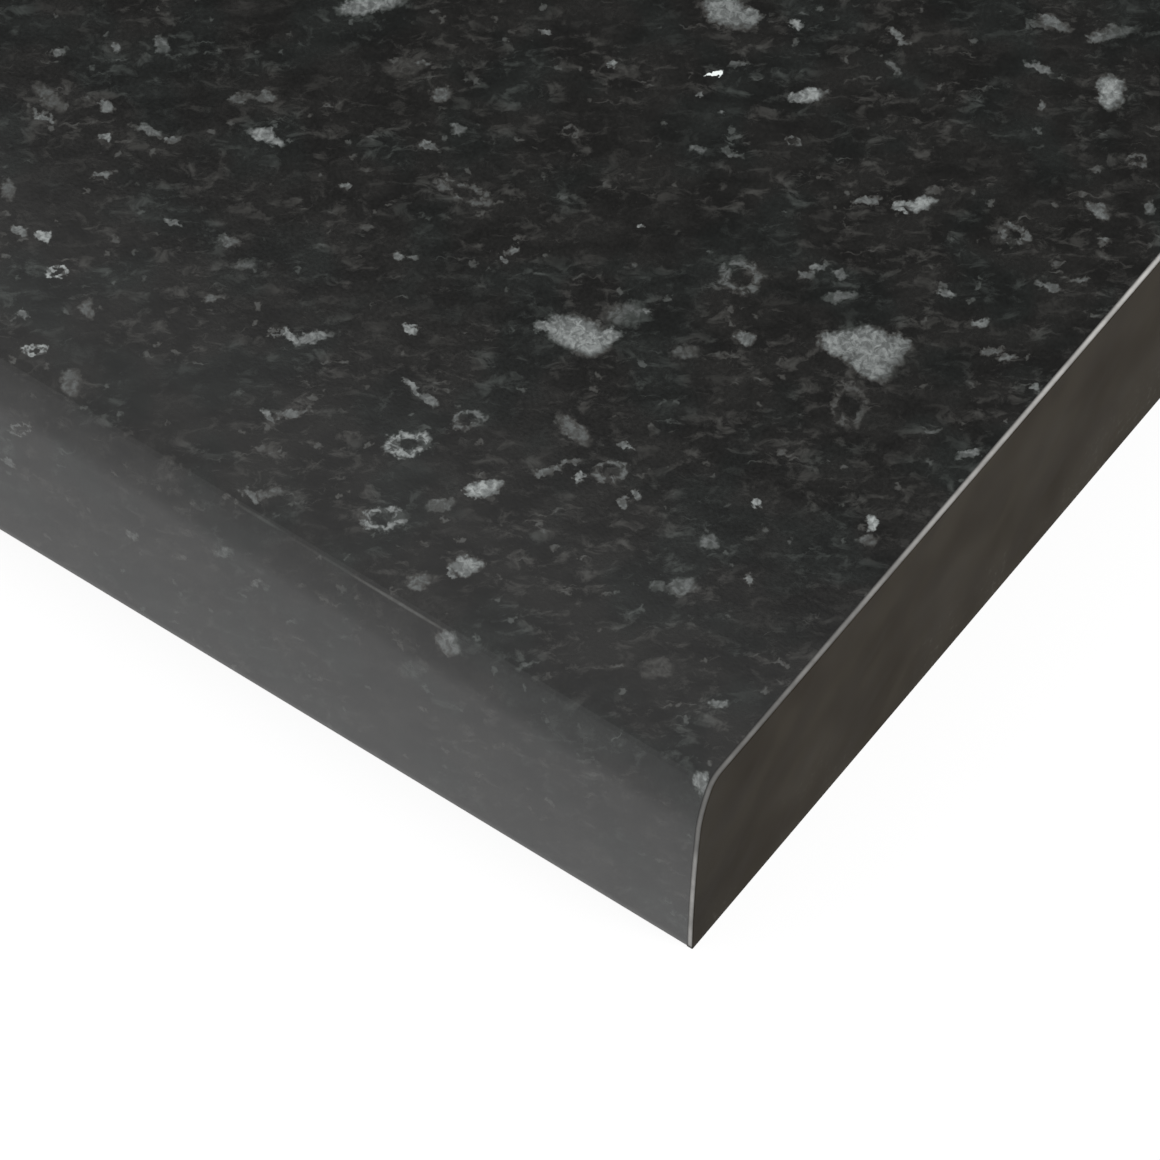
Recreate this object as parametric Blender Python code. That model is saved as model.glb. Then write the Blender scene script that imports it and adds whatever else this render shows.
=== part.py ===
"""Postformed worktop slab: a chipboard core, a decor laminate bent over the rounded front edge, a balancing
sheet underneath, an edging strip on each cut end, and a bead of sealant behind the laminate's lower edge.

Metres, +Z up. The origin is the centre of the underside. The length runs along X, the front faces -Y and the
work surface faces +Z. Every piece but the end strips is one cross-section in the Y-Z plane, drawn out along X.
"""
import math

import bmesh
import bpy

# Overall sizes
LENGTH = 1.200
DEPTH = 0.600
THICKNESS = 0.038

# The front profile, by the laminate's outer face, from the top down: a tight bend, an easier shoulder, and a
# slow curve that ends plumb at the underside. Turns are measured from level.
EDGE_RADIUS = 0.003
EDGE_TURN = math.radians(61)
SHOULDER_RADIUS = 0.021
SHOULDER_TURN = math.radians(24)

# Sheets and strips
LAMINATE_THICKNESS = 0.0008
BACKING_THICKNESS = 0.0006
STRIP_THICKNESS = 0.0010
GLUE_GAP = 0.0003  # room for the glue line between two pieces

# Bead of sealant in the rebate behind the laminate's lower edge
SEAL_WIDTH = 0.003
SEAL_HEIGHT = 0.0022
SEAL_RECESS = 0.0003  # the bead's lowest lines stay this far above the underside
SEAL_HOLLOW = 0.0004  # how far the wiped face of the bead curves up in the middle

ARC_STEPS = 12
SHOULDER_STEPS = 8
FACE_STEPS = 6

# Planes that the pieces share
FRONT = -DEPTH / 2
REAR = DEPTH / 2
CORE_INSET = LAMINATE_THICKNESS + GLUE_GAP
CORE_FRONT = FRONT + CORE_INSET
CORE_TOP = THICKNESS - CORE_INSET
CORE_BOTTOM = BACKING_THICKNESS + GLUE_GAP
SHOULDER_END = EDGE_TURN + SHOULDER_TURN
EDGE_DROP = EDGE_RADIUS * (1 - math.cos(EDGE_TURN))
SHOULDER_DROP = SHOULDER_RADIUS * (math.cos(EDGE_TURN) - math.cos(SHOULDER_END))
FACE_RADIUS = (THICKNESS - EDGE_DROP - SHOULDER_DROP) / math.cos(SHOULDER_END)
STRIP_INNER_X = LENGTH / 2 - STRIP_THICKNESS
BODY_END_X = STRIP_INNER_X - GLUE_GAP
SEAL_REAR = CORE_FRONT + SEAL_WIDTH
SEAL_TOP = SEAL_RECESS + SEAL_HEIGHT


def finish(name, colour, roughness, metallic=0.0):
    """A Principled material with one colour."""
    material = bpy.data.materials.new(name)
    material.use_nodes = True
    shader = material.node_tree.nodes["Principled BSDF"]
    shader.inputs["Base Color"].default_value = (*colour, 1.0)
    shader.inputs["Roughness"].default_value = roughness
    shader.inputs["Metallic"].default_value = metallic
    return material


def on_arc(centre, radius, turn):
    """The point (y, z) of an arc whose surface has turned this far from level."""
    return centre[0] - radius * math.sin(turn), centre[1] + radius * math.cos(turn)


def arc(centre, radius, from_turn, to_turn, steps):
    turns = [from_turn + (to_turn - from_turn) * step / steps for step in range(steps + 1)]
    return [on_arc(centre, radius, turn) for turn in turns]


def front_profile(inset=0.0, lowest=0.0):
    """Points from the top down the front, this far inside the outer face, to this height.

    The three arcs run tangent into each other and keep their centres at every inset, so the sheets stay
    parallel.
    """
    face_centre = (FRONT + FACE_RADIUS, 0.0)
    shoulder_centre = on_arc(face_centre, FACE_RADIUS - SHOULDER_RADIUS, SHOULDER_END)
    edge_centre = on_arc(shoulder_centre, SHOULDER_RADIUS - EDGE_RADIUS, EDGE_TURN)
    foot_turn = math.acos(lowest / (FACE_RADIUS - inset))
    edge = arc(edge_centre, EDGE_RADIUS - inset, 0.0, EDGE_TURN, ARC_STEPS)
    shoulder = arc(shoulder_centre, SHOULDER_RADIUS - inset, EDGE_TURN, SHOULDER_END, SHOULDER_STEPS)
    face = arc(face_centre, FACE_RADIUS - inset, SHOULDER_END, foot_turn, FACE_STEPS)
    return edge + shoulder[1:] + face[1:]


def drawn_out(name, outline, x_from, x_to, material):
    """A named object: an outline of (y, z) points, filled and drawn out along X."""
    mesh = bpy.data.meshes.new(name)
    shape = bmesh.new()
    section = shape.faces.new([shape.verts.new((x_from, y, z)) for y, z in outline])
    drawn = bmesh.ops.extrude_face_region(shape, geom=[section])
    moved = [item for item in drawn["geom"] if isinstance(item, bmesh.types.BMVert)]
    bmesh.ops.translate(shape, verts=moved, vec=(x_to - x_from, 0, 0))
    bmesh.ops.recalc_face_normals(shape, faces=shape.faces)
    shape.to_mesh(mesh)
    shape.free()
    mesh.shade_smooth()
    mesh.set_sharp_from_angle(angle=math.radians(30))
    mesh.materials.append(material)
    piece = bpy.data.objects.new(name, mesh)
    bpy.context.collection.objects.link(piece)
    return piece


def core_board():
    """The chipboard core: its front top edge is routed round, its front bottom edge rebated for the seal."""
    rebate_rear = SEAL_REAR + GLUE_GAP
    rebate_top = SEAL_TOP + GLUE_GAP
    outline = [
        (REAR, CORE_BOTTOM),
        (REAR, CORE_TOP),
        *front_profile(CORE_INSET, rebate_top),
        (rebate_rear, rebate_top),
        (rebate_rear, CORE_BOTTOM),
    ]
    chipboard = finish("chipboard", (0.55, 0.40, 0.24), 0.85)
    drawn_out("core_board", outline, -BODY_END_X, BODY_END_X, chipboard)


def top_laminate():
    """One sheet over the top, round the bend and down the front to the underside."""
    outline = [
        (REAR, THICKNESS - LAMINATE_THICKNESS),
        (REAR, THICKNESS),
        *front_profile(),
        *reversed(front_profile(LAMINATE_THICKNESS)),
    ]
    decor = finish("granite_decor", (0.030, 0.031, 0.030), 0.35)
    drawn_out("top_laminate", outline, -BODY_END_X, BODY_END_X, decor)


def backing_sheet():
    """The balancing sheet, from behind the seal to the rear edge. The slab stands on it."""
    front = SEAL_REAR + GLUE_GAP
    outline = [(front, 0.0), (REAR, 0.0), (REAR, BACKING_THICKNESS), (front, BACKING_THICKNESS)]
    kraft = finish("backing_paper", (0.32, 0.22, 0.14), 0.7)
    drawn_out("backing_sheet", outline, -BODY_END_X, BODY_END_X, kraft)


def drip_seal():
    """The bead in the rebate. Its open face, wiped with a finger, is a shallow hollow arc."""
    half_width = SEAL_WIDTH / 2
    middle = CORE_FRONT + half_width
    arc_radius = (half_width**2 + SEAL_HOLLOW**2) / (2 * SEAL_HOLLOW)
    reach = math.asin(half_width / arc_radius)
    crown = SEAL_RECESS + SEAL_HOLLOW - arc_radius
    angles = [reach * (1 - 2 * step / ARC_STEPS) for step in range(ARC_STEPS + 1)]
    wiped = [(middle + arc_radius * math.sin(a), crown + arc_radius * math.cos(a)) for a in angles]
    outline = [*wiped, (CORE_FRONT, SEAL_TOP), (SEAL_REAR, SEAL_TOP)]
    sealant = finish("sealant", (0.06, 0.06, 0.06), 0.4)
    drawn_out("drip_seal", outline, -BODY_END_X, BODY_END_X, sealant)


def end_strips():
    """A strip over each cut end, trimmed to the slab's whole profile, front bend included."""
    outline = [(REAR, 0.0), (REAR, THICKNESS), *front_profile()]
    edging = finish("end_edging", (0.045, 0.040, 0.033), 0.5)
    drawn_out("right_end_strip", outline, STRIP_INNER_X, LENGTH / 2, edging)
    drawn_out("left_end_strip", outline, -LENGTH / 2, -STRIP_INNER_X, edging)


for old in list(bpy.data.objects):
    bpy.data.objects.remove(old, do_unlink=True)

core_board()
top_laminate()
backing_sheet()
drip_seal()
end_strips()
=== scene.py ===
import math

import bmesh
import bpy
from mathutils import Matrix, Vector


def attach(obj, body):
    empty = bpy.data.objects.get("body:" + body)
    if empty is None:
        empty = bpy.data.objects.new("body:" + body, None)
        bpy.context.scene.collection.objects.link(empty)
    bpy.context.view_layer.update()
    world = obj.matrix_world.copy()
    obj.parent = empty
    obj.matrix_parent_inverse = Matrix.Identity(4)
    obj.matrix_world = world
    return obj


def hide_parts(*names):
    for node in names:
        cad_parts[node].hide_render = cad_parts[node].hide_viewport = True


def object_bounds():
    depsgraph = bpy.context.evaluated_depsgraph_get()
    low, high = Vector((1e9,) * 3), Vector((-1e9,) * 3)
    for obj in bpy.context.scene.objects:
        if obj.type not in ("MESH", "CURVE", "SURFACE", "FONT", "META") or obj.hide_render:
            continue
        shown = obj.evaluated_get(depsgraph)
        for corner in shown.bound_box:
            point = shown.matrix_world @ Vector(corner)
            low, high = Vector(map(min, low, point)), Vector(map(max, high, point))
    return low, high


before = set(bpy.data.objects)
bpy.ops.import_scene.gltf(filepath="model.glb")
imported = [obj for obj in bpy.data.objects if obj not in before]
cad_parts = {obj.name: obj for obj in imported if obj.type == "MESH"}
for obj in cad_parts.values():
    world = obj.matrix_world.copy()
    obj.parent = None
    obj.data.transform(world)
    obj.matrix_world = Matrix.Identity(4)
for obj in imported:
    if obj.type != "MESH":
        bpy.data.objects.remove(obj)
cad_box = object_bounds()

low, high = cad_box
FRONT, REAR = low.y, high.y
LEFT_END, RIGHT_END = low.x, high.x
TOP = high.z


# ---------------------------------------------------------------------------------------------------
# The camera: a long lens on the near right corner of the slab, looking down across it.
# ---------------------------------------------------------------------------------------------------
LENS = 311.2
CAMERA_TURN = math.radians(35.2)  # round to the right of the front
CAMERA_RISE = math.radians(55.16)
CAMERA_TILT = math.radians(0.62)  # the horizon, turned a little clockwise
CAMERA_DISTANCE = 1.4261
AIM = Vector((RIGHT_END - 0.03541, FRONT + 0.02125, TOP))

towards_camera = Vector((
    math.sin(CAMERA_TURN) * math.cos(CAMERA_RISE),
    -math.cos(CAMERA_TURN) * math.cos(CAMERA_RISE),
    math.sin(CAMERA_RISE),
))
camera_data = bpy.data.cameras.new("camera")
camera_data.lens = LENS
camera_data.sensor_width = 36.0
camera_data.clip_start = 0.05
camera_data.clip_end = 200.0
camera = bpy.data.objects.new("camera", camera_data)
camera.location = AIM + towards_camera * CAMERA_DISTANCE
facing = (-towards_camera).to_track_quat("-Z", "Y").to_matrix()
camera.rotation_euler = (facing @ Matrix.Rotation(CAMERA_TILT, 3, "Z")).to_euler()
bpy.context.collection.objects.link(camera)
bpy.context.scene.camera = camera
bpy.context.scene.view_settings.view_transform = "Standard"


# ---------------------------------------------------------------------------------------------------
# The core: one board of pressed wood chips, its front top edge routed round and its ends sawn. The
# saw leaves the chips showing on the rear edge, which goes against a wall.
# ---------------------------------------------------------------------------------------------------
class Link:
    """A socket in a material's nodes, with the sums that can be written on it."""

    def __init__(self, tree, socket=None):
        self.tree = tree
        self.socket = socket

    def node(self, kind, settings=None, sockets=None, out=0):
        """Adds a node of this kind: first its settings, then the values or links of its sockets."""
        made = self.tree.nodes.new("ShaderNode" + kind)
        for name, value in (settings or {}).items():
            if name == "stops":
                while len(made.color_ramp.elements) < len(value):
                    made.color_ramp.elements.new(0.5)
                for stop, (place, colour) in zip(made.color_ramp.elements, value):
                    stop.position = place
                    stop.color = (*colour, 1.0)
            else:
                setattr(made, name, value)
        for name, value in (sockets or {}).items():
            if isinstance(value, Link):
                self.tree.links.new(value.socket, made.inputs[name])
            else:
                made.inputs[name].default_value = value
        return Link(self.tree, made.outputs[out])

    def maths(self, operation, *values):
        return self.node("Math", {"operation": operation}, dict(enumerate(values)))

    def __add__(self, other):
        return self.maths("ADD", self, other)

    def __sub__(self, other):
        return self.maths("SUBTRACT", self, other)

    def __rsub__(self, other):
        return self.maths("SUBTRACT", other, self)

    def __mul__(self, other):
        return self.maths("MULTIPLY", self, other)

    def larger(self, other):
        return self.maths("MAXIMUM", self, other)

    def fade(self, start, end, at_start=0.0, at_end=1.0):
        """A smooth step: at_start where this value is start, at_end where it is end."""
        sockets = {0: self, 1: start, 2: end, 3: at_start, 4: at_end}
        return self.node("MapRange", {"interpolation_type": "SMOOTHSTEP"}, sockets)

    def noise(self, size, detail=2.0, roughness=0.5, out=0, shift=(0.0, 0.0, 0.0), curl=0.0, flat=False):
        """Noise whose lumps are about this size, in the units of this vector."""
        moved = self.node("VectorMath", {"operation": "ADD"}, {0: self, 1: shift})
        sockets = {"Vector": moved, "Scale": 1.0 / size, "Detail": detail, "Roughness": roughness}
        sockets["Distortion"] = curl
        return self.node("TexNoise", {"noise_dimensions": "2D" if flat else "3D"}, sockets, out)

    def blend(self, first, second):
        """The first colour where this value is 0, the second where it is 1."""
        return self.node("Mix", {"data_type": "RGBA"}, {0: self, 6: first, 7: second}, out=2)


def new_finish(name):
    """A material, the first link of its nodes, and its Principled shader."""
    material = bpy.data.materials.new(name)
    material.use_nodes = True
    shader = material.node_tree.nodes["Principled BSDF"]
    return material, Link(material.node_tree), shader


def connect(shader, **links):
    """Feeds the shader's sockets; base_color stands for Base Color."""
    for name, link in links.items():
        socket = shader.inputs[name.replace("_", " ").title()]
        link.tree.links.new(link.socket, socket)


def millimetres(start):
    """The piece's own coordinates, in millimetres."""
    place = start.node("TexCoord", out=3)
    return start.node("VectorMath", {"operation": "SCALE"}, {0: place, "Scale": 1000.0})


def chipboard_finish():
    """Pale flat chips from a few tenths to several millimetres, in darker resin-bound dust."""
    material, start, shader = new_finish("chipboard")
    place = millimetres(start)
    lying = start.node("Mapping", None, {"Vector": place, "Scale": (0.35, 0.35, 1.0)})
    chips = start.node("TexVoronoi", {"feature": "F1"}, {"Vector": lying, "Scale": 0.8}, out=1)
    shade = start.node("SeparateColor", None, {0: chips})
    gaps = start.node("TexVoronoi", {"feature": "DISTANCE_TO_EDGE"}, {"Vector": lying, "Scale": 0.8})
    dust = lying.noise(0.5, detail=4.0)
    tone = shade * 0.6 + dust * 0.5
    stops = [(0.1, (0.17, 0.10, 0.05)), (0.45, (0.42, 0.29, 0.16)), (0.9, (0.66, 0.52, 0.34))]
    wood = tone.node("ValToRGB", {"stops": stops}, {0: tone})
    seams = gaps.fade(0.0, 0.12)
    connect(
        shader,
        base_color=seams.blend((0.10, 0.06, 0.03, 1.0), wood),
        roughness=dust.fade(0.2, 0.8, 0.75, 0.95),
    )
    relief = start.node("Bump", None, {"Strength": 0.5, "Distance": 0.0003, "Height": seams + dust * 0.5})
    connect(shader, normal=relief)
    shader.inputs["Specular IOR Level"].default_value = 0.2
    return material


core_board = bpy.data.objects["core_board"]
core_board.data.materials.clear()
core_board.data.materials.append(chipboard_finish())


# ---------------------------------------------------------------------------------------------------
# The decor laminate: kraft papers soaked in resin under one printed sheet, pressed hard and bent
# warm over the routed edge. The black granite print runs on, round the bend and down the front.
# ---------------------------------------------------------------------------------------------------
LAMINATE_THICKNESS = 0.0008
# The front profile by the outer face, from the top down: a tight bend, an easier shoulder, and a slow
# curve that ends plumb at the underside. Turns are measured from level.
EDGE_RADIUS = 0.003
EDGE_TURN = math.radians(61)
EDGE_STEPS = 20
SHOULDER_RADIUS = 0.021
SHOULDER_END = math.radians(85)
SHOULDER_STEPS = 14
EDGE_DROP = EDGE_RADIUS * (1 - math.cos(EDGE_TURN))
SHOULDER_DROP = SHOULDER_RADIUS * (math.cos(EDGE_TURN) - math.cos(SHOULDER_END))
FACE_RADIUS = (TOP - EDGE_DROP - SHOULDER_DROP) / math.cos(SHOULDER_END)
FACE_STEPS = 8
ARRIS = 0.00025  # the trimmed lower edge, just broken
ARRIS_STEPS = 4
SUPPORT = 0.0012  # flat strip beside the bend that keeps its shading off the flat faces
STRIP_THICKNESS = 0.001
BODY_RIGHT = RIGHT_END - STRIP_THICKNESS
BODY_LEFT = LEFT_END + STRIP_THICKNESS


def on_arc(centre, radius, turn):
    """The point (y, z) of an arc whose surface has turned this far from level."""
    return centre[0] - radius * math.sin(turn), centre[1] + radius * math.cos(turn)


def arc(centre, radius, from_turn, to_turn, steps):
    turns = [from_turn + (to_turn - from_turn) * step / steps for step in range(steps + 1)]
    return [on_arc(centre, radius, turn) for turn in turns]


def front_profile(inset=0.0, lowest=0.0):
    """From the top round the bend and down the front, this far inside the outer face."""
    face_centre = (FRONT + FACE_RADIUS, 0.0)
    shoulder_centre = on_arc(face_centre, FACE_RADIUS - SHOULDER_RADIUS, SHOULDER_END)
    edge_centre = on_arc(shoulder_centre, SHOULDER_RADIUS - EDGE_RADIUS, EDGE_TURN)
    foot_turn = math.acos(lowest / (FACE_RADIUS - inset))
    edge = arc(edge_centre, EDGE_RADIUS - inset, 0.0, EDGE_TURN, EDGE_STEPS)
    shoulder = arc(shoulder_centre, SHOULDER_RADIUS - inset, EDGE_TURN, SHOULDER_END, SHOULDER_STEPS)
    face = arc(face_centre, FACE_RADIUS - inset, SHOULDER_END, foot_turn, FACE_STEPS)
    return edge + shoulder[1:] + face[1:]


def sheet_outline():
    """The outer line of the laminate's section, rear to front and down, as (y, z) points."""
    bend = front_profile(0.0, ARRIS + SUPPORT)
    foot = arc((FRONT + ARRIS, ARRIS), ARRIS, math.pi / 2, math.pi, ARRIS_STEPS)
    return [(REAR, TOP), (REAR - SUPPORT, TOP), (bend[0][0] + SUPPORT, TOP), *bend, *foot]


def swept(name, sections, closed, finishes, finish_of, maps=None):
    """A piece made of rings of points: sections[i][j] is joined to its neighbours both ways.

    finish_of(i, j) is the material of the face after section i and point j; maps gives each UV
    layer a function of the same places.
    """
    mesh = bpy.data.meshes.new(name)
    shape = bmesh.new()
    rows = [[shape.verts.new(point) for point in section] for section in sections]
    layers = {title: shape.loops.layers.uv.new(title) for title in (maps or {})}
    count = len(rows[0])
    for i in range(len(rows) - 1):
        for j in range(count if closed else count - 1):
            places = [(i, j), (i, j + 1), (i + 1, j + 1), (i + 1, j)]
            face = shape.faces.new([rows[a][b % count] for a, b in places])
            face.material_index = finish_of(i, j)
            for title, layer in layers.items():
                for corner, (a, b) in zip(face.loops, places):
                    corner[layer].uv = maps[title](a, b)
    for end, section in ((0, rows[0]), (-1, rows[-1])):
        if closed:
            cap = shape.faces.new(section)
            cap.material_index = finish_of(end, None)
            for title, layer in layers.items():
                for corner, j in zip(cap.loops, range(count)):
                    corner[layer].uv = maps[title](end, j, True)
    bmesh.ops.recalc_face_normals(shape, faces=shape.faces)
    shape.to_mesh(mesh)
    shape.free()
    for finish in finishes:
        mesh.materials.append(finish)
    mesh.shade_smooth()
    mesh.set_sharp_from_angle(angle=math.radians(40))
    piece = bpy.data.objects.new(name, mesh)
    bpy.context.collection.objects.link(piece)
    return piece


# The larger crystals of the print near the right front corner, placed one by one, in millimetres: in
# from the right end, back from the front (below zero past the bend), half length, half width, turn
# in degrees from the length towards the rear, and brightness.
CRYSTALS = [
    (25.3, 79.6, 5.2, 2.6, 14, 0.17), (29.0, 77.0, 3.4, 1.9, 8, 0.17), (23.5, 76.6, 4.0, 2.0, 12, 0.15),
    (22.8, 82.0, 2.6, 1.4, 0, 0.13), (60.9, 56.2, 4.3, 3.0, 5, 0.19), (65.3, 54.7, 1.8, 1.1, 8, 0.16),
    (57.0, 58.9, 2.0, 1.1, 35, 0.17), (57.6, 63.3, 3.4, 1.9, 50, 0.055), (55.5, 65.6, 0.6, 0.5, 0, 0.12),
    (23.4, 138.3, 2.8, 1.9, 128, 0.19), (77.5, 117.2, 3.9, 2.6, 8, 0.15), (74.6, 118.6, 1.6, 1.5, 60, 0.14),
    (121.3, 87.3, 4.4, 1.7, 40, 0.16), (58.7, 111.9, 1.9, 1.3, 42, 0.20), (59.9, 110.4, 1.2, 0.8, 60, 0.15),
    (34.3, 104.9, 2.1, 1.2, 42, 0.20), (36.3, 103.2, 1.7, 0.6, 55, 0.18), (36.0, 102.3, 1.1, 0.4, 160, 0.20),
    (41.0, 100.6, 2.0, 0.7, 40, 0.10), (34.0, 108.1, 1.3, 0.8, 40, 0.05), (118.8, 58.4, 3.0, 0.9, 2, 0.17),
    (119.0, 59.3, 0.9, 0.9, 80, 0.16), (55.8, 26.2, 2.2, 1.6, 55, 0.24), (56.8, 24.1, 1.2, 0.4, 175, 0.16),
    (50.1, 13.7, 2.2, 1.6, 48, 0.17), (51.0, 11.3, 1.0, 0.4, 170, 0.13), (45.3, 1.6, 2.2, 1.7, 60, 0.13),
    (1.9, 3.2, 1.7, 1.3, 120, 0.17), (7.6, 53.6, 1.2, 0.9, 125, 0.27), (6.2, 51.0, 1.5, 1.0, 40, 0.06),
    (22.8, 47.0, 0.8, 0.7, 45, 0.20), (81.0, 42.8, 0.9, 0.8, 45, 0.18), (46.0, 35.6, 1.2, 0.7, 125, 0.20),
    (94.4, 31.5, 1.8, 0.5, 170, 0.17), (91.6, 33.4, 2.7, 0.9, 48, 0.14), (88.5, 18.2, 1.6, 0.5, 172, 0.12),
    (86.0, 20.4, 2.3, 0.8, 52, 0.08), (82.3, 5.5, 1.6, 0.5, 172, 0.08), (80.0, 7.6, 2.2, 0.8, 52, 0.06),
    (75.3, 34.8, 1.2, 0.6, 150, 0.15), (73.8, 34.2, 1.2, 0.5, 150, 0.13), (71.4, 34.2, 1.5, 0.6, 170, 0.11),
    (134.2, 24.8, 1.0, 0.9, 20, 0.24), (137.8, 23.7, 1.4, 0.7, 10, 0.13), (128.2, 12.0, 0.9, 0.9, 0, 0.13),
    (51.6, 42.2, 3.6, 1.3, 155, 0.07), (43.8, 44.1, 1.2, 0.5, 0, 0.12), (50.3, 34.0, 2.4, 0.6, 50, 0.09),
    (48.6, 37.2, 1.4, 0.5, 70, 0.08), (37.4, 38.1, 0.8, 0.7, 40, 0.12), (38.2, 35.9, 0.9, 0.6, 150, 0.11),
    (24.3, 37.3, 1.5, 1.2, 20, 0.08), (23.0, 28.7, 2.2, 1.5, 35, 0.08), (26.0, 26.9, 1.1, 0.8, 30, 0.05),
    (15.9, 35.4, 0.9, 0.5, 130, 0.11), (59.3, 20.2, 1.8, 1.2, 58, 0.07), (53.7, 7.8, 2.0, 1.2, 55, 0.07),
    (7.0, 15.6, 1.4, 0.8, 40, 0.11), (17.5, 15.3, 3.0, 1.5, 32, 0.03), (40.9, 69.8, 1.9, 0.9, 5, 0.11),
    (34.2, 84.0, 2.3, 0.9, 48, 0.07), (39.8, 86.6, 1.2, 0.7, 35, 0.11), (40.5, 84.3, 1.3, 0.7, 50, 0.10),
    (36.5, 87.4, 1.1, 0.6, 20, 0.08), (3.0, 72.0, 2.2, 0.6, 42, 0.11), (14.9, 92.2, 1.2, 0.8, 60, 0.12),
    (64.9, 77.3, 0.4, 0.4, 0, 0.18), (46.6, 62.8, 2.0, 1.2, 55, 0.05), (10.6, 89.0, 1.6, 0.7, 70, 0.09),
    (8.6, 89.3, 1.5, 0.6, 80, 0.09), (1.8, 87.0, 0.9, 0.8, 30, 0.12), (110.2, 80.9, 3.2, 1.8, 40, 0.03),
    (108.6, 82.8, 1.8, 0.4, 42, 0.06), (102.6, 80.0, 1.6, 1.3, 20, 0.08), (97.0, 76.0, 1.1, 0.9, 0, 0.08),
    (98.4, 71.2, 1.4, 0.5, 25, 0.10), (77.5, 62.8, 1.1, 0.7, 40, 0.10), (77.7, 60.8, 0.9, 0.4, 170, 0.10),
    (97.1, 98.5, 0.9, 0.5, 20, 0.11), (85.8, 99.3, 0.9, 0.5, 25, 0.14), (71.9, 102.3, 0.6, 0.5, 0, 0.12),
    (67.4, 101.7, 0.6, 0.5, 160, 0.10), (83.0, 99.6, 1.9, 1.4, 10, 0.03), (66.5, 93.8, 1.1, 0.8, 10, 0.08),
    (62.0, 96.3, 1.7, 0.5, 175, 0.07), (68.4, 121.3, 1.0, 0.6, 10, 0.18), (70.5, 110.3, 1.4, 0.5, 48, 0.06),
    (54.9, 128.4, 1.7, 0.7, 165, 0.10), (53.0, 127.8, 1.0, 0.6, 60, 0.09), (51.8, 123.3, 1.4, 0.7, 155, 0.08),
    (37.3, 144.0, 2.6, 1.0, 25, 0.09), (38.8, 142.4, 1.8, 0.8, 20, 0.05), (29.0, 147.8, 3.2, 1.3, 30, 0.06),
    (30.4, 145.4, 1.6, 0.8, 20, 0.09), (34.2, 135.8, 2.4, 0.6, 8, 0.10), (30.0, 130.2, 1.1, 0.5, 130, 0.08),
    (10.2, 103.5, 2.1, 0.6, 20, 0.10), (7.8, 107.0, 1.3, 0.5, 42, 0.07), (12.6, 118.8, 2.2, 0.7, 165, 0.10),
    (12.5, 119.8, 0.8, 0.8, 60, 0.08), (22.0, 93.6, 1.5, 0.5, 12, 0.11), (17.0, 125.4, 1.3, 0.6, 35, 0.06),
    (6.6, 124.0, 1.5, 0.6, 125, 0.08), (8.7, 115.2, 1.0, 0.6, 25, 0.08), (141.6, 63.2, 1.7, 1.0, 125, 0.09),
    (146.8, 58.7, 1.0, 0.8, 10, 0.10), (153.1, 53.1, 1.1, 0.7, 40, 0.10), (141.2, 49.3, 1.1, 1.0, 70, 0.11),
    (133.6, 49.4, 2.2, 0.9, 10, 0.09), (129.8, 50.1, 1.3, 0.6, 62, 0.09), (149.3, 45.6, 3.2, 1.3, 165, 0.05),
    (147.5, 42.3, 1.9, 0.6, 8, 0.12), (138.2, 44.8, 0.8, 0.7, 150, 0.17), (134.2, 38.7, 1.5, 0.5, 50, 0.10),
    (120.5, 37.9, 1.1, 0.5, 22, 0.10), (111.8, 40.1, 1.5, 1.0, 10, 0.08), (107.4, 38.0, 1.7, 0.9, 48, 0.06),
    (104.0, 58.3, 0.8, 0.5, 50, 0.14), (90.3, 52.5, 0.9, 0.7, 150, 0.13), (88.2, 53.4, 0.9, 0.7, 40, 0.08),
    (123.5, 64.3, 1.5, 1.1, 50, 0.08), (126.2, 62.0, 2.0, 0.7, 42, 0.06), (143.5, 28.5, 1.7, 1.1, 115, 0.06),
    (121.0, 18.0, 1.8, 1.1, 120, 0.06), (115.0, 6.3, 2.2, 1.4, 125, 0.06), (107.5, 30.4, 1.9, 0.6, 45, 0.08),
    (84.1, -6.4, 2.1, 0.9, 50, 0.09), (77.8, -8.6, 1.4, 0.6, 65, 0.09), (100.3, -14.9, 1.4, 0.9, 40, 0.10),
    (122.8, -15.3, 1.2, 0.9, 10, 0.12), (50.0, -6.8, 4.0, 1.6, 42, 0.03), (71.8, -12.8, 1.5, 0.5, 85, 0.04),
]
# Crystals that show only as a pale rim round a dark middle, in the same way.
RIMS = [
    (69.3, 26.0, 3.6, 1.9, 50, 0.19), (64.3, 13.4, 3.5, 1.8, 52, 0.15), (64.9, 34.6, 2.4, 1.6, 60, 0.08),
    (128.7, 20.8, 1.6, 1.0, 35, 0.24), (122.7, 8.0, 1.6, 1.0, 32, 0.22), (43.0, 39.2, 3.0, 1.6, 35, 0.08),
    (22.0, 69.0, 4.2, 2.6, 125, 0.04), (89.6, 67.5, 4.4, 1.7, 10, 0.055), (20.0, 108.3, 2.3, 2.0, 60, 0.08),
    (47.8, 78.6, 3.4, 2.8, 40, 0.07), (83.4, 85.6, 1.5, 1.2, 120, 0.045), (13.0, 130.2, 1.6, 1.3, 30, 0.06),
    (56.0, 103.4, 1.2, 0.8, 10, 0.07), (120.7, -6.0, 2.6, 1.1, 50, 0.12), (96.5, 30.6, 1.2, 0.7, 60, 0.06),
]
GLINT = (72.5, 106.8, 0.5)  # one sliver as white as paper, lying at 48 degrees
# Painted highlights: thin pale lines along the start of the bend, standing in for light caught there:
# in from the end, back from the front, half length and half width in millimetres, and how much paler.
PAINTED_BEND_HIGHLIGHTS = [(54.5, 3.2, 10.0, 0.3, 0.055), (79.5, 3.5, 5.0, 0.3, 0.025), (66.0, 3.3, 9.0, 0.25, 0.015)]
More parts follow.
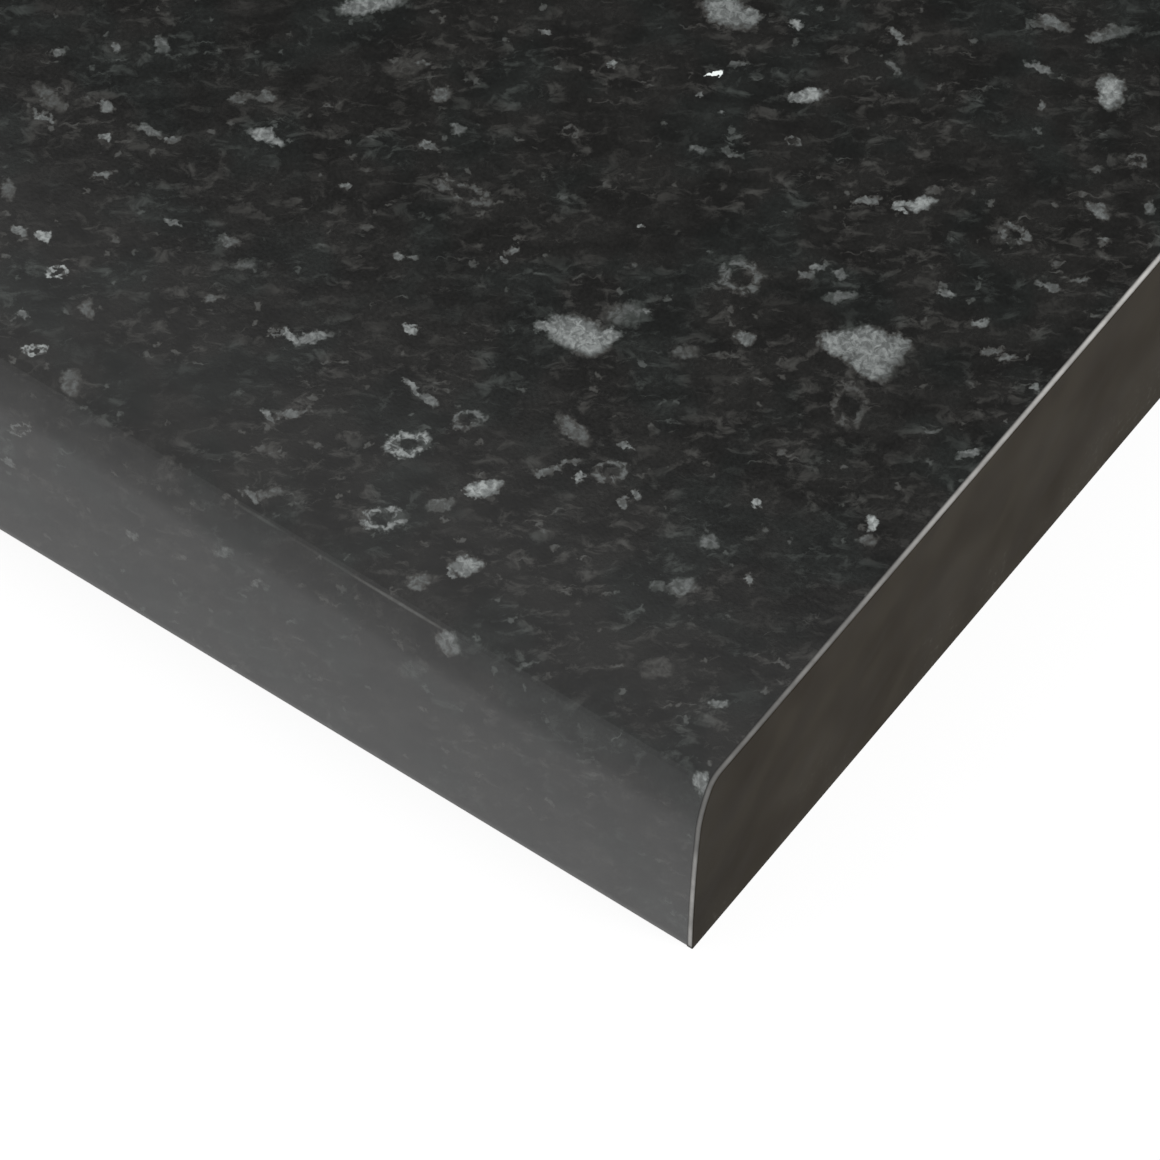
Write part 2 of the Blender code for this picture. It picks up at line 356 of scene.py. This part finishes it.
# How far the placed crystals reach, in from the right end and back from the front, and how softly
# the strewn ones take over.
PLACED_IN = 158.0
PLACED_BACK = 150.0
TAKEOVER = 6.0
# The crystals that are not placed: how far apart, half the width of the largest, the share of places
# that hold one, and brightness.
STREWN = [(21.0, 2.6, 0.5, 0.18), (11.0, 1.6, 0.5, 0.14), (6.0, 0.9, 0.5, 0.12)]
SPECK_SPACING = 3.4
# The ways that a crystal can be drawn: turn in degrees, and how many times longer than wide.
ROUND = (0, 1.15)
WAYS = [(8, 1.6), (8, 3.0), (48, 1.6), (48, 3.0), (125, 1.6), (165, 2.5)]
ROUND_BELOW = 1.3  # a crystal less stretched than this counts as round
STRETCH_WEIGHT = 34.0  # degrees of turn that matter as much as being e times too long


def sorted_by_way(crystals):
    """Each crystal under the way nearest its own, with the half width that keeps its area."""
    ways = {way: [] for way in [*WAYS, ROUND]}
    for inward, back, half_length, half_width, turn, glow in crystals:
        stretch = half_length / half_width

        def misfit(way):
            apart = abs(way[0] - turn) % 180
            return min(apart, 180 - apart) + STRETCH_WEIGHT * abs(math.log(way[1] / stretch))

        way = ROUND if stretch < ROUND_BELOW else min(WAYS, key=misfit)
        size = math.sqrt(half_length * half_width / way[1])
        ways[way].append((inward, back, size, glow))
    return ways


def granite_finish():
    """The printed sheet, read off in millimetres as it lay before it was bent."""
    material, start, shader = new_finish("granite_decor")
    unrolled = start.node("UVMap", {"uv_map": "sheet"})
    place = start.node("VectorMath", {"operation": "SCALE"}, {0: unrolled, "Scale": 1000.0})
    combed = start.node("Mapping", {"vector_type": "TEXTURE"}, {
        "Vector": place,
        "Rotation": (0.0, 0.0, math.radians(37)),
        "Scale": (1.6, 1.0, 1.0),
    })

    # Outlines are made ragged by shifting each point a little before the shapes are drawn.
    off = start.node("VectorMath", {"operation": "ADD"}, {
        0: place.noise(2.0, 2.0, 0.6, out=1, flat=True),
        1: (-0.5, -0.5, 0.0),
    })
    nudged = start.node("VectorMath", {"operation": "MULTIPLY_ADD"}, {0: off, 1: (2.2, 2.2, 0.0), 2: place})
    fine_off = start.node("VectorMath", {"operation": "ADD"}, {
        0: place.noise(0.6, 2.0, 0.6, out=1, flat=True),
        1: (-0.5, -0.5, 0.0),
    })
    broken = start.node("VectorMath", {"operation": "MULTIPLY_ADD"}, {
        0: fine_off,
        1: (0.9, 0.9, 0.0),
        2: nudged,
    })

    lies = {
        (turn, stretch): start.node("Mapping", {"vector_type": "TEXTURE"}, {
            "Vector": broken,
            "Rotation": (0.0, 0.0, math.radians(turn)),
            "Scale": (stretch, 1.0, 1.0),
        })
        for turn, stretch in [*WAYS, ROUND]
    }

    def distance(lie, inward, back):
        """How far from a crystal's middle, in millimetres across it, and less quickly along it."""
        turn, stretch = lie
        middle = Matrix.Rotation(-math.radians(turn), 3, "Z") @ Vector((-inward, back, 0.0))
        middle.x /= stretch
        return start.node("VectorMath", {"operation": "DISTANCE"}, {0: lies[lie], 1: middle}, out=1)

    crystals = None
    for lie, spots in sorted_by_way(CRYSTALS).items():
        for inward, back, size, glow in spots:
            bright = distance(lie, inward, back).fade(1.3 * size, 0.62 * size, 0.0, glow)
            crystals = bright if crystals is None else crystals.larger(bright)
    rims = None
    for lie, spots in sorted_by_way(RIMS).items():
        for inward, back, size, glow in spots:
            off_rim = start.maths("ABSOLUTE", distance(lie, inward, back) - 0.8 * size)
            bright = off_rim.fade(0.42 * size, 0.06 * size, 0.0, glow)
            rims = bright if rims is None else rims.larger(bright)
    inward, back, size = GLINT
    glint = distance((48, 3.0), inward, back).fade(1.1 * size, 0.8 * size)

    # Beyond the placed corner the same kinds of crystal fall where they will.
    from_end = start.node("SeparateXYZ", None, {0: place}, out=0)
    from_front = start.node("SeparateXYZ", None, {0: place}, out=1)
    past_length = from_end.fade(-PLACED_IN, -PLACED_IN - TAKEOVER)
    beyond = past_length.larger(from_front.fade(PLACED_BACK, PLACED_BACK + TAKEOVER))
    strewn = None
    for spacing, size, share, glow in STREWN:
        sockets = {"Vector": lies[48, 1.6], "Scale": 1.0 / spacing}
        settings = {"voronoi_dimensions": "2D"}
        gap = start.node("TexVoronoi", settings, sockets) * spacing
        lot = start.node("TexVoronoi", settings, sockets, out=1)
        draw = start.node("SeparateColor", None, {0: lot}, out=0)
        rank = start.node("SeparateColor", None, {0: lot}, out=1)
        reach = draw.fade(1.0 - share, 1.0, 0.0, size)
        seen = (reach - gap).fade(0.0, 0.5) * rank.fade(0.0, 1.0, 0.3, 1.0) * glow
        strewn = seen if strewn is None else strewn.larger(seen)
    crystals = crystals.larger(strewn * beyond)

    # Mottling, brushed streaks and specks in loose clusters, over a ground that is never quite even.
    clusters = combed.noise(11.0, 2.0, 0.6, shift=(40.0, 7.0, 0.0), flat=True)
    mottling = combed.noise(2.4, 5.0, 0.68, curl=0.35, flat=True).fade(0.49, 0.75, 0.0, 0.032)
    brushed = start.node("Mapping", {"vector_type": "TEXTURE"}, {
        "Vector": nudged,
        "Rotation": (0.0, 0.0, math.radians(40)),
        "Scale": (3.2, 1.0, 1.0),
    })
    streaks = brushed.noise(1.3, 4.0, 0.6, curl=0.2, flat=True).fade(0.57, 0.8, 0.0, 0.06)
    tufts = brushed.noise(5.0, 2.0, 0.5, shift=(3.0, 60.0, 0.0), flat=True).fade(0.5, 0.66)
    sockets = {"Vector": broken, "Scale": 1.0 / SPECK_SPACING}
    near_speck = start.node("TexVoronoi", {"voronoi_dimensions": "2D"}, sockets) * SPECK_SPACING
    speck_lot = start.node("TexVoronoi", {"voronoi_dimensions": "2D"}, sockets, out=1)
    speck_size = start.node("SeparateColor", None, {0: speck_lot}, out=2).fade(0.6, 1.0, 0.0, 0.7)
    specks = (speck_size - near_speck).fade(0.0, 0.45) * speck_size * 0.075
    clouds = combed.noise(6.0, 4.0, 0.6, shift=(5.0, 90.0, 0.0), flat=True)
    grains = place.noise(0.6, 2.0, 0.6, flat=True)
    veins = place.noise(1.3, 3.0, 0.6, curl=0.5, shift=(31.0, 2.0, 0.0), flat=True)
    texture = grains.fade(0.25, 0.75, 0.8, 1.15) * veins.fade(0.35, 0.65, 0.6, 1.3)
    pale = crystals.larger(rims * veins.fade(0.4, 0.56, 0.35, 1.0)) * texture
    ground = clouds.fade(0.32, 0.68, 0.0068, 0.0135) * grains.fade(0.2, 0.8, 0.8, 1.2)
    flecks = mottling * clusters.fade(0.35, 0.62, 0.35, 1.2) + streaks * tufts
    # Painted highlight: the thin pale lines along the start of the bend.
    painted_bend_highlight = None
    for inward, back, half_length, half_width, glow in PAINTED_BEND_HIGHLIGHTS:
        line = start.node("Mapping", {"vector_type": "TEXTURE"}, {
            "Vector": place,
            "Location": (-inward, back, 0.0),
            "Scale": (half_length, half_width, 1.0),
        })
        reach = start.node("VectorMath", {"operation": "LENGTH"}, {0: line}, out=1)
        seen = reach.fade(1.3, 0.3, 0.0, glow)
        painted_bend_highlight = seen if painted_bend_highlight is None else painted_bend_highlight.larger(seen)
    # Round the bend and down the front the pale parts of the print are dimmed to 0.6. This is partly the
    # print thinned where the sheet was stretched, and partly painted shade that stands in for the glare that
    # washes out the print there.
    stretch_and_glare_dimming = from_front.fade(1.0, 5.0, 0.6, 1.0)
    light = ground + flecks.larger(specks).larger(pale) * stretch_and_glare_dimming
    light = light.larger(glint * 0.85) + painted_bend_highlight * veins.fade(0.3, 0.6, 0.7, 1.0)

    green = place.noise(14.0, 2.0, shift=(60.0, 20.0, 0.0), flat=True).fade(0.45, 0.65)
    cool = light.fade(0.03, 0.09)
    ground_tint = green.blend((1.02, 1.0, 0.93, 1.0), (0.93, 1.04, 0.97, 1.0))
    tint = cool.blend(ground_tint, (0.96, 1.02, 1.0, 1.0))
    colour = start.node("VectorMath", {"operation": "SCALE"}, {0: tint, "Scale": light})
    connect(shader, base_color=colour, roughness=grains.fade(0.2, 0.8, 0.06, 0.09))
    relief = start.node("Bump", None, {"Strength": 0.05, "Distance": 0.00003, "Height": grains})
    connect(shader, normal=relief)
    shader.inputs["Specular IOR Level"].default_value = 0.46
    return material


def cut_laminate_finish():
    """The sheet's own trimmed edge: dark brown, in fine layers of paper."""
    material, start, shader = new_finish("laminate_edge")
    place = millimetres(start)
    layers = start.node("Mapping", None, {"Vector": place, "Scale": (0.02, 1.0, 6.0)}).noise(1.0)
    connect(shader, base_color=layers.blend((0.018, 0.011, 0.007, 1.0), (0.06, 0.038, 0.022, 1.0)))
    shader.inputs["Roughness"].default_value = 0.6
    return material


outer = sheet_outline()
inner = [*reversed(front_profile(LAMINATE_THICKNESS)), (REAR, TOP - LAMINATE_THICKNESS)]
ring = outer + inner
decor_end = len(outer) - 1 - ARRIS_STEPS  # the print stops where the lower edge is trimmed

# The distance along the outer line from the front, counted as if the sheet lay flat.
along = [0.0]
for here, there in zip(outer, outer[1:]):
    along.append(along[-1] + math.dist(here, there))
unroll = [(REAR - FRONT) - length for length in along]


def sheet_place(i, j, cap=False):
    """Where this point lies on the flat sheet: along it from the right end, and back from the front."""
    x = (BODY_RIGHT, BODY_LEFT)[i] - RIGHT_END
    return (x, unroll[j] if j < len(outer) else unroll[-1])


def bake_place(i, j, cap=False):
    """The decor face fills the square but for a narrow band that holds the hidden faces."""
    across = (1.0, 0.0)[i]
    if cap:
        return (0.002 + 0.0005 * across, 0.01)
    if j < len(outer):
        return (across, 1.0 - 0.96 * along[j] / along[-1])
    return (across, 0.03 * (len(ring) - j) / len(inner))


top_laminate = swept(
    "worktop_laminate",
    [[(x, y, z) for y, z in ring] for x in (BODY_RIGHT, BODY_LEFT)],
    True,
    [granite_finish(), cut_laminate_finish()],
    lambda i, j: 0 if j is not None and j < decor_end else 1,
    {"sheet": sheet_place, "OFBake": bake_place},
)
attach(top_laminate, "root")
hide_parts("top_laminate")


# ---------------------------------------------------------------------------------------------------
# The balancing sheet: two layers of resin-soaked kraft paper pressed to the underside, brown and
# slightly shiny, so that the board stays flat under the laminate on its other side.
# ---------------------------------------------------------------------------------------------------
def kraft_finish():
    material, start, shader = new_finish("kraft_backing")
    place = millimetres(start)
    fibres = start.node("Mapping", None, {"Vector": place, "Scale": (0.25, 1.0, 1.0)}).noise(1.5, 4.0, 0.6)
    patches = place.noise(60.0, 3.0)
    tone = fibres * 0.5 + patches * 0.5
    connect(
        shader,
        base_color=tone.fade(0.3, 0.7).blend((0.15, 0.085, 0.042, 1.0), (0.27, 0.165, 0.09, 1.0)),
        roughness=fibres.fade(0.2, 0.8, 0.5, 0.68),
    )
    return material


backing_sheet = bpy.data.objects["backing_sheet"]
backing_sheet.data.materials.clear()
backing_sheet.data.materials.append(kraft_finish())


# ---------------------------------------------------------------------------------------------------
# The drip seal: a bead of dark elastic sealant run into the rebate behind the laminate's lower edge
# and wiped hollow with a finger.
# ---------------------------------------------------------------------------------------------------
def sealant_finish():
    material, start, shader = new_finish("sealant")
    place = millimetres(start)
    smears = start.node("Mapping", None, {"Vector": place, "Scale": (0.06, 1.0, 1.0)}).noise(1.2, 3.0)
    connect(
        shader,
        base_color=smears.blend((0.035, 0.035, 0.037, 1.0), (0.075, 0.075, 0.078, 1.0)),
        roughness=smears.fade(0.2, 0.8, 0.3, 0.5),
    )
    return material


drip_seal = bpy.data.objects["drip_seal"]
drip_seal.data.materials.clear()
drip_seal.data.materials.append(sealant_finish())


# ---------------------------------------------------------------------------------------------------
# The end strips: thin edging glued over each sawn end and trimmed flush with a file, which breaks
# the outer edge and leaves the strip's pale body showing as a line all the way round.
# ---------------------------------------------------------------------------------------------------
BREAK = 0.0001  # the filed edge of the strip


def edging_finish():
    """Matt dark brown-grey with soft, slanting smudges, scuffed paler low down."""
    material, start, shader = new_finish("end_edging")
    place = millimetres(start)
    back = start.node("SeparateXYZ", None, {0: place}, out=1) - 1000.0 * FRONT
    height = start.node("SeparateXYZ", None, {0: place}, out=2)
    slanted = start.node("Mapping", {"vector_type": "TEXTURE"}, {
        "Vector": place,
        "Rotation": (math.radians(38), 0.0, 0.0),
        "Scale": (1.0, 2.6, 1.0),
    })
    smudges = slanted.noise(6.0, 3.0, 0.55)
    patches = place.noise(16.0, 2.0, shift=(9.0, 3.0, 0.0))
    dust = place.noise(1.2, 4.0, 0.65)
    tone = (smudges * 0.55 + patches * 0.45).fade(0.38, 0.62)
    brown = tone.blend((0.0155, 0.0117, 0.007, 1.0), (0.0275, 0.0232, 0.0168, 1.0))
    scuffs = dust.fade(0.52, 0.75) * patches.fade(0.4, 0.6) * height.fade(16.0, 2.0)
    worn = (scuffs * 0.5).blend(brown, (0.075, 0.07, 0.06, 1.0))
    shadow = back.fade(0.0, 22.0, 0.78, 1.0)
    colour = start.node("VectorMath", {"operation": "SCALE"}, {0: worn, "Scale": shadow})
    connect(shader, base_color=colour, roughness=smudges.fade(0.3, 0.7, 0.55, 0.68))
    shader.inputs["Specular IOR Level"].default_value = 0.04
    return material


def cut_strip_finish():
    """The strip's own edge: a pale body between its two dark faces, with painted light along it: dimmest at
    the bend, brighter down the front and farther back along the top, with random wear, and darker in its
    lowest 0.8 mm.
    """
    material, start, shader = new_finish("strip_edge")
    place = millimetres(start)
    across = start.node("SeparateXYZ", None, {0: place}, out=0)
    back = start.node("SeparateXYZ", None, {0: place}, out=1)
    height = start.node("SeparateXYZ", None, {0: place}, out=2)
    into = 1000.0 * RIGHT_END - start.maths("ABSOLUTE", across)
    off_middle = start.maths("ABSOLUTE", into * (2.0 / (1000.0 * STRIP_THICKNESS)) - 1.0)
    wear = place.noise(5.0, 4.0, 0.6)
    # Painted light: the line is dimmest at the bend, brighter down the front and brighter farther back along
    # the top.
    bright = back.fade(1000.0 * FRONT, 1000.0 * FRONT + 130.0, 0.13, 0.42)
    bright = bright.larger(height.fade(30.0, 18.0, 0.0, 0.27)) * wear.fade(0.3, 0.7, 0.8, 1.2)
    shade = off_middle.fade(1.1, 0.2, 0.05, 1.0) * bright * height.fade(0.1, 0.8, 0.1, 1.0)
    colour = start.node("VectorMath", {"operation": "SCALE"}, {0: (1.0, 0.98, 0.94), "Scale": shade})
    connect(shader, base_color=colour)
    shader.inputs["Roughness"].default_value = 0.6
    shader.inputs["Specular IOR Level"].default_value = 0.2
    return material


def strip_outline(inset):
    """The slab's whole profile, drawn in by this much, as (y, z) points."""
    return [(REAR - inset, inset), (REAR - inset, TOP - inset), *front_profile(inset, inset)]


edging = edging_finish()
cut_strip = cut_strip_finish()
for side, sign, end in (("right", 1.0, RIGHT_END), ("left", -1.0, LEFT_END)):
    depths = [(STRIP_THICKNESS, 0.0), (BREAK, 0.0), (0.0, BREAK)]
    rings = [[(end - sign * depth, y, z) for y, z in strip_outline(inset)] for depth, inset in depths]

    def end_place(i, j, cap=False, rings=rings):
        """The end face fills most of the square, with the filed edge in a band under it."""
        x, y, z = rings[i][j % len(rings[i])]
        across = (y - FRONT) / (REAR - FRONT)
        if cap and i == -1:
            return (across, 0.1 + 0.9 * z / TOP)
        if cap:
            return (across, 0.001)
        return (j / len(rings[0]), 0.01 + 0.03 * i)

    strip = swept(
        side + "_edging",
        rings,
        True,
        [edging, cut_strip],
        lambda i, j: 1 if i == 0 and j is not None else 0,
        {"OFBake": end_place},
    )
    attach(strip, "root")
    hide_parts(side + "_end_strip")


# ---------------------------------------------------------------------------------------------------
# The studio: a glowing white floor, one wide soft light on the right, and a dim surround that is bright
# along the horizon and low in front, as under a window's top edge, and paler overhead. The floor's glow
# is painted dimmer near the slab, a painted shade that the front face reflects.
# ---------------------------------------------------------------------------------------------------
FLOOR_SIZE = 60.0
WINDOW_TOP = math.radians(31.5)  # above level, in front
CEILING_EDGE = math.radians(59.4)  # above level, behind

floor_mesh = bpy.data.meshes.new("floor")
half = FLOOR_SIZE / 2
floor_mesh.from_pydata(
    [(-half, -half, 0.0), (half, -half, 0.0), (half, half, 0.0), (-half, half, 0.0)], [], [(0, 1, 2, 3)]
)
floor_material, floor_start, floor_shader = new_finish("floor")
floor_shader.inputs["Base Color"].default_value = (0.15, 0.15, 0.15, 1.0)
floor_shader.inputs["Roughness"].default_value = 0.9
floor_shader.inputs["Specular IOR Level"].default_value = 0.0
# Painted shade on the floor: its glow is 0.85 behind the slab and up to 20 mm in front of it, rising to 0.98
# by 90 mm in front.
in_front = FRONT - floor_start.node("SeparateXYZ", None, {0: floor_start.node("TexCoord", out=3)}, out=1)
connect(floor_shader, emission_color=in_front.fade(0.02, 0.09, 0.85, 0.98))
floor_shader.inputs["Emission Strength"].default_value = 1.0
floor_mesh.materials.append(floor_material)
floor = bpy.data.objects.new("floor", floor_mesh)
bpy.context.collection.objects.link(floor)

world = bpy.data.worlds.new("surround")
world.use_nodes = True
sky = Link(world.node_tree)
toward = sky.node("TexCoord", out=0)
sideways = sky.node("SeparateXYZ", None, {0: toward}, out=0)
depthways = sky.node("SeparateXYZ", None, {0: toward}, out=1)
rise = sky.node("SeparateXYZ", None, {0: toward}, out=2)
horizon = rise.fade(0.16, 0.05, 0.0, 1.05)
below_top = depthways * -math.sin(WINDOW_TOP) - rise * math.cos(WINDOW_TOP)
window = below_top.fade(-0.03, 0.02, 0.0, 1.05) * sideways.fade(0.35, 0.1)
past_edge = rise * math.cos(CEILING_EDGE) - depthways * math.sin(CEILING_EDGE)
ceiling = past_edge.fade(0.001, 0.018, 0.0, 0.62) * rise.fade(0.35, 0.5)
shade = (ceiling + 0.17).larger(window).larger(horizon)
backdrop = world.node_tree.nodes["Background"]
world.node_tree.links.new(shade.socket, backdrop.inputs["Color"])
bpy.context.scene.world = world


def soft_light(name, size, power, place, aim):
    """A square soft light at a place, facing a point."""
    data = bpy.data.lights.new(name, "AREA")
    data.shape = "SQUARE"
    data.size = size
    data.energy = power
    light = bpy.data.objects.new(name, data)
    light.location = place
    light.rotation_euler = (Vector(aim) - Vector(place)).to_track_quat("-Z", "Y").to_euler()
    bpy.context.collection.objects.link(light)


soft_light("side_light", 1.6, 60.0, (2.4, -0.3, 2.0), (0.2, 0.0, 0.0))
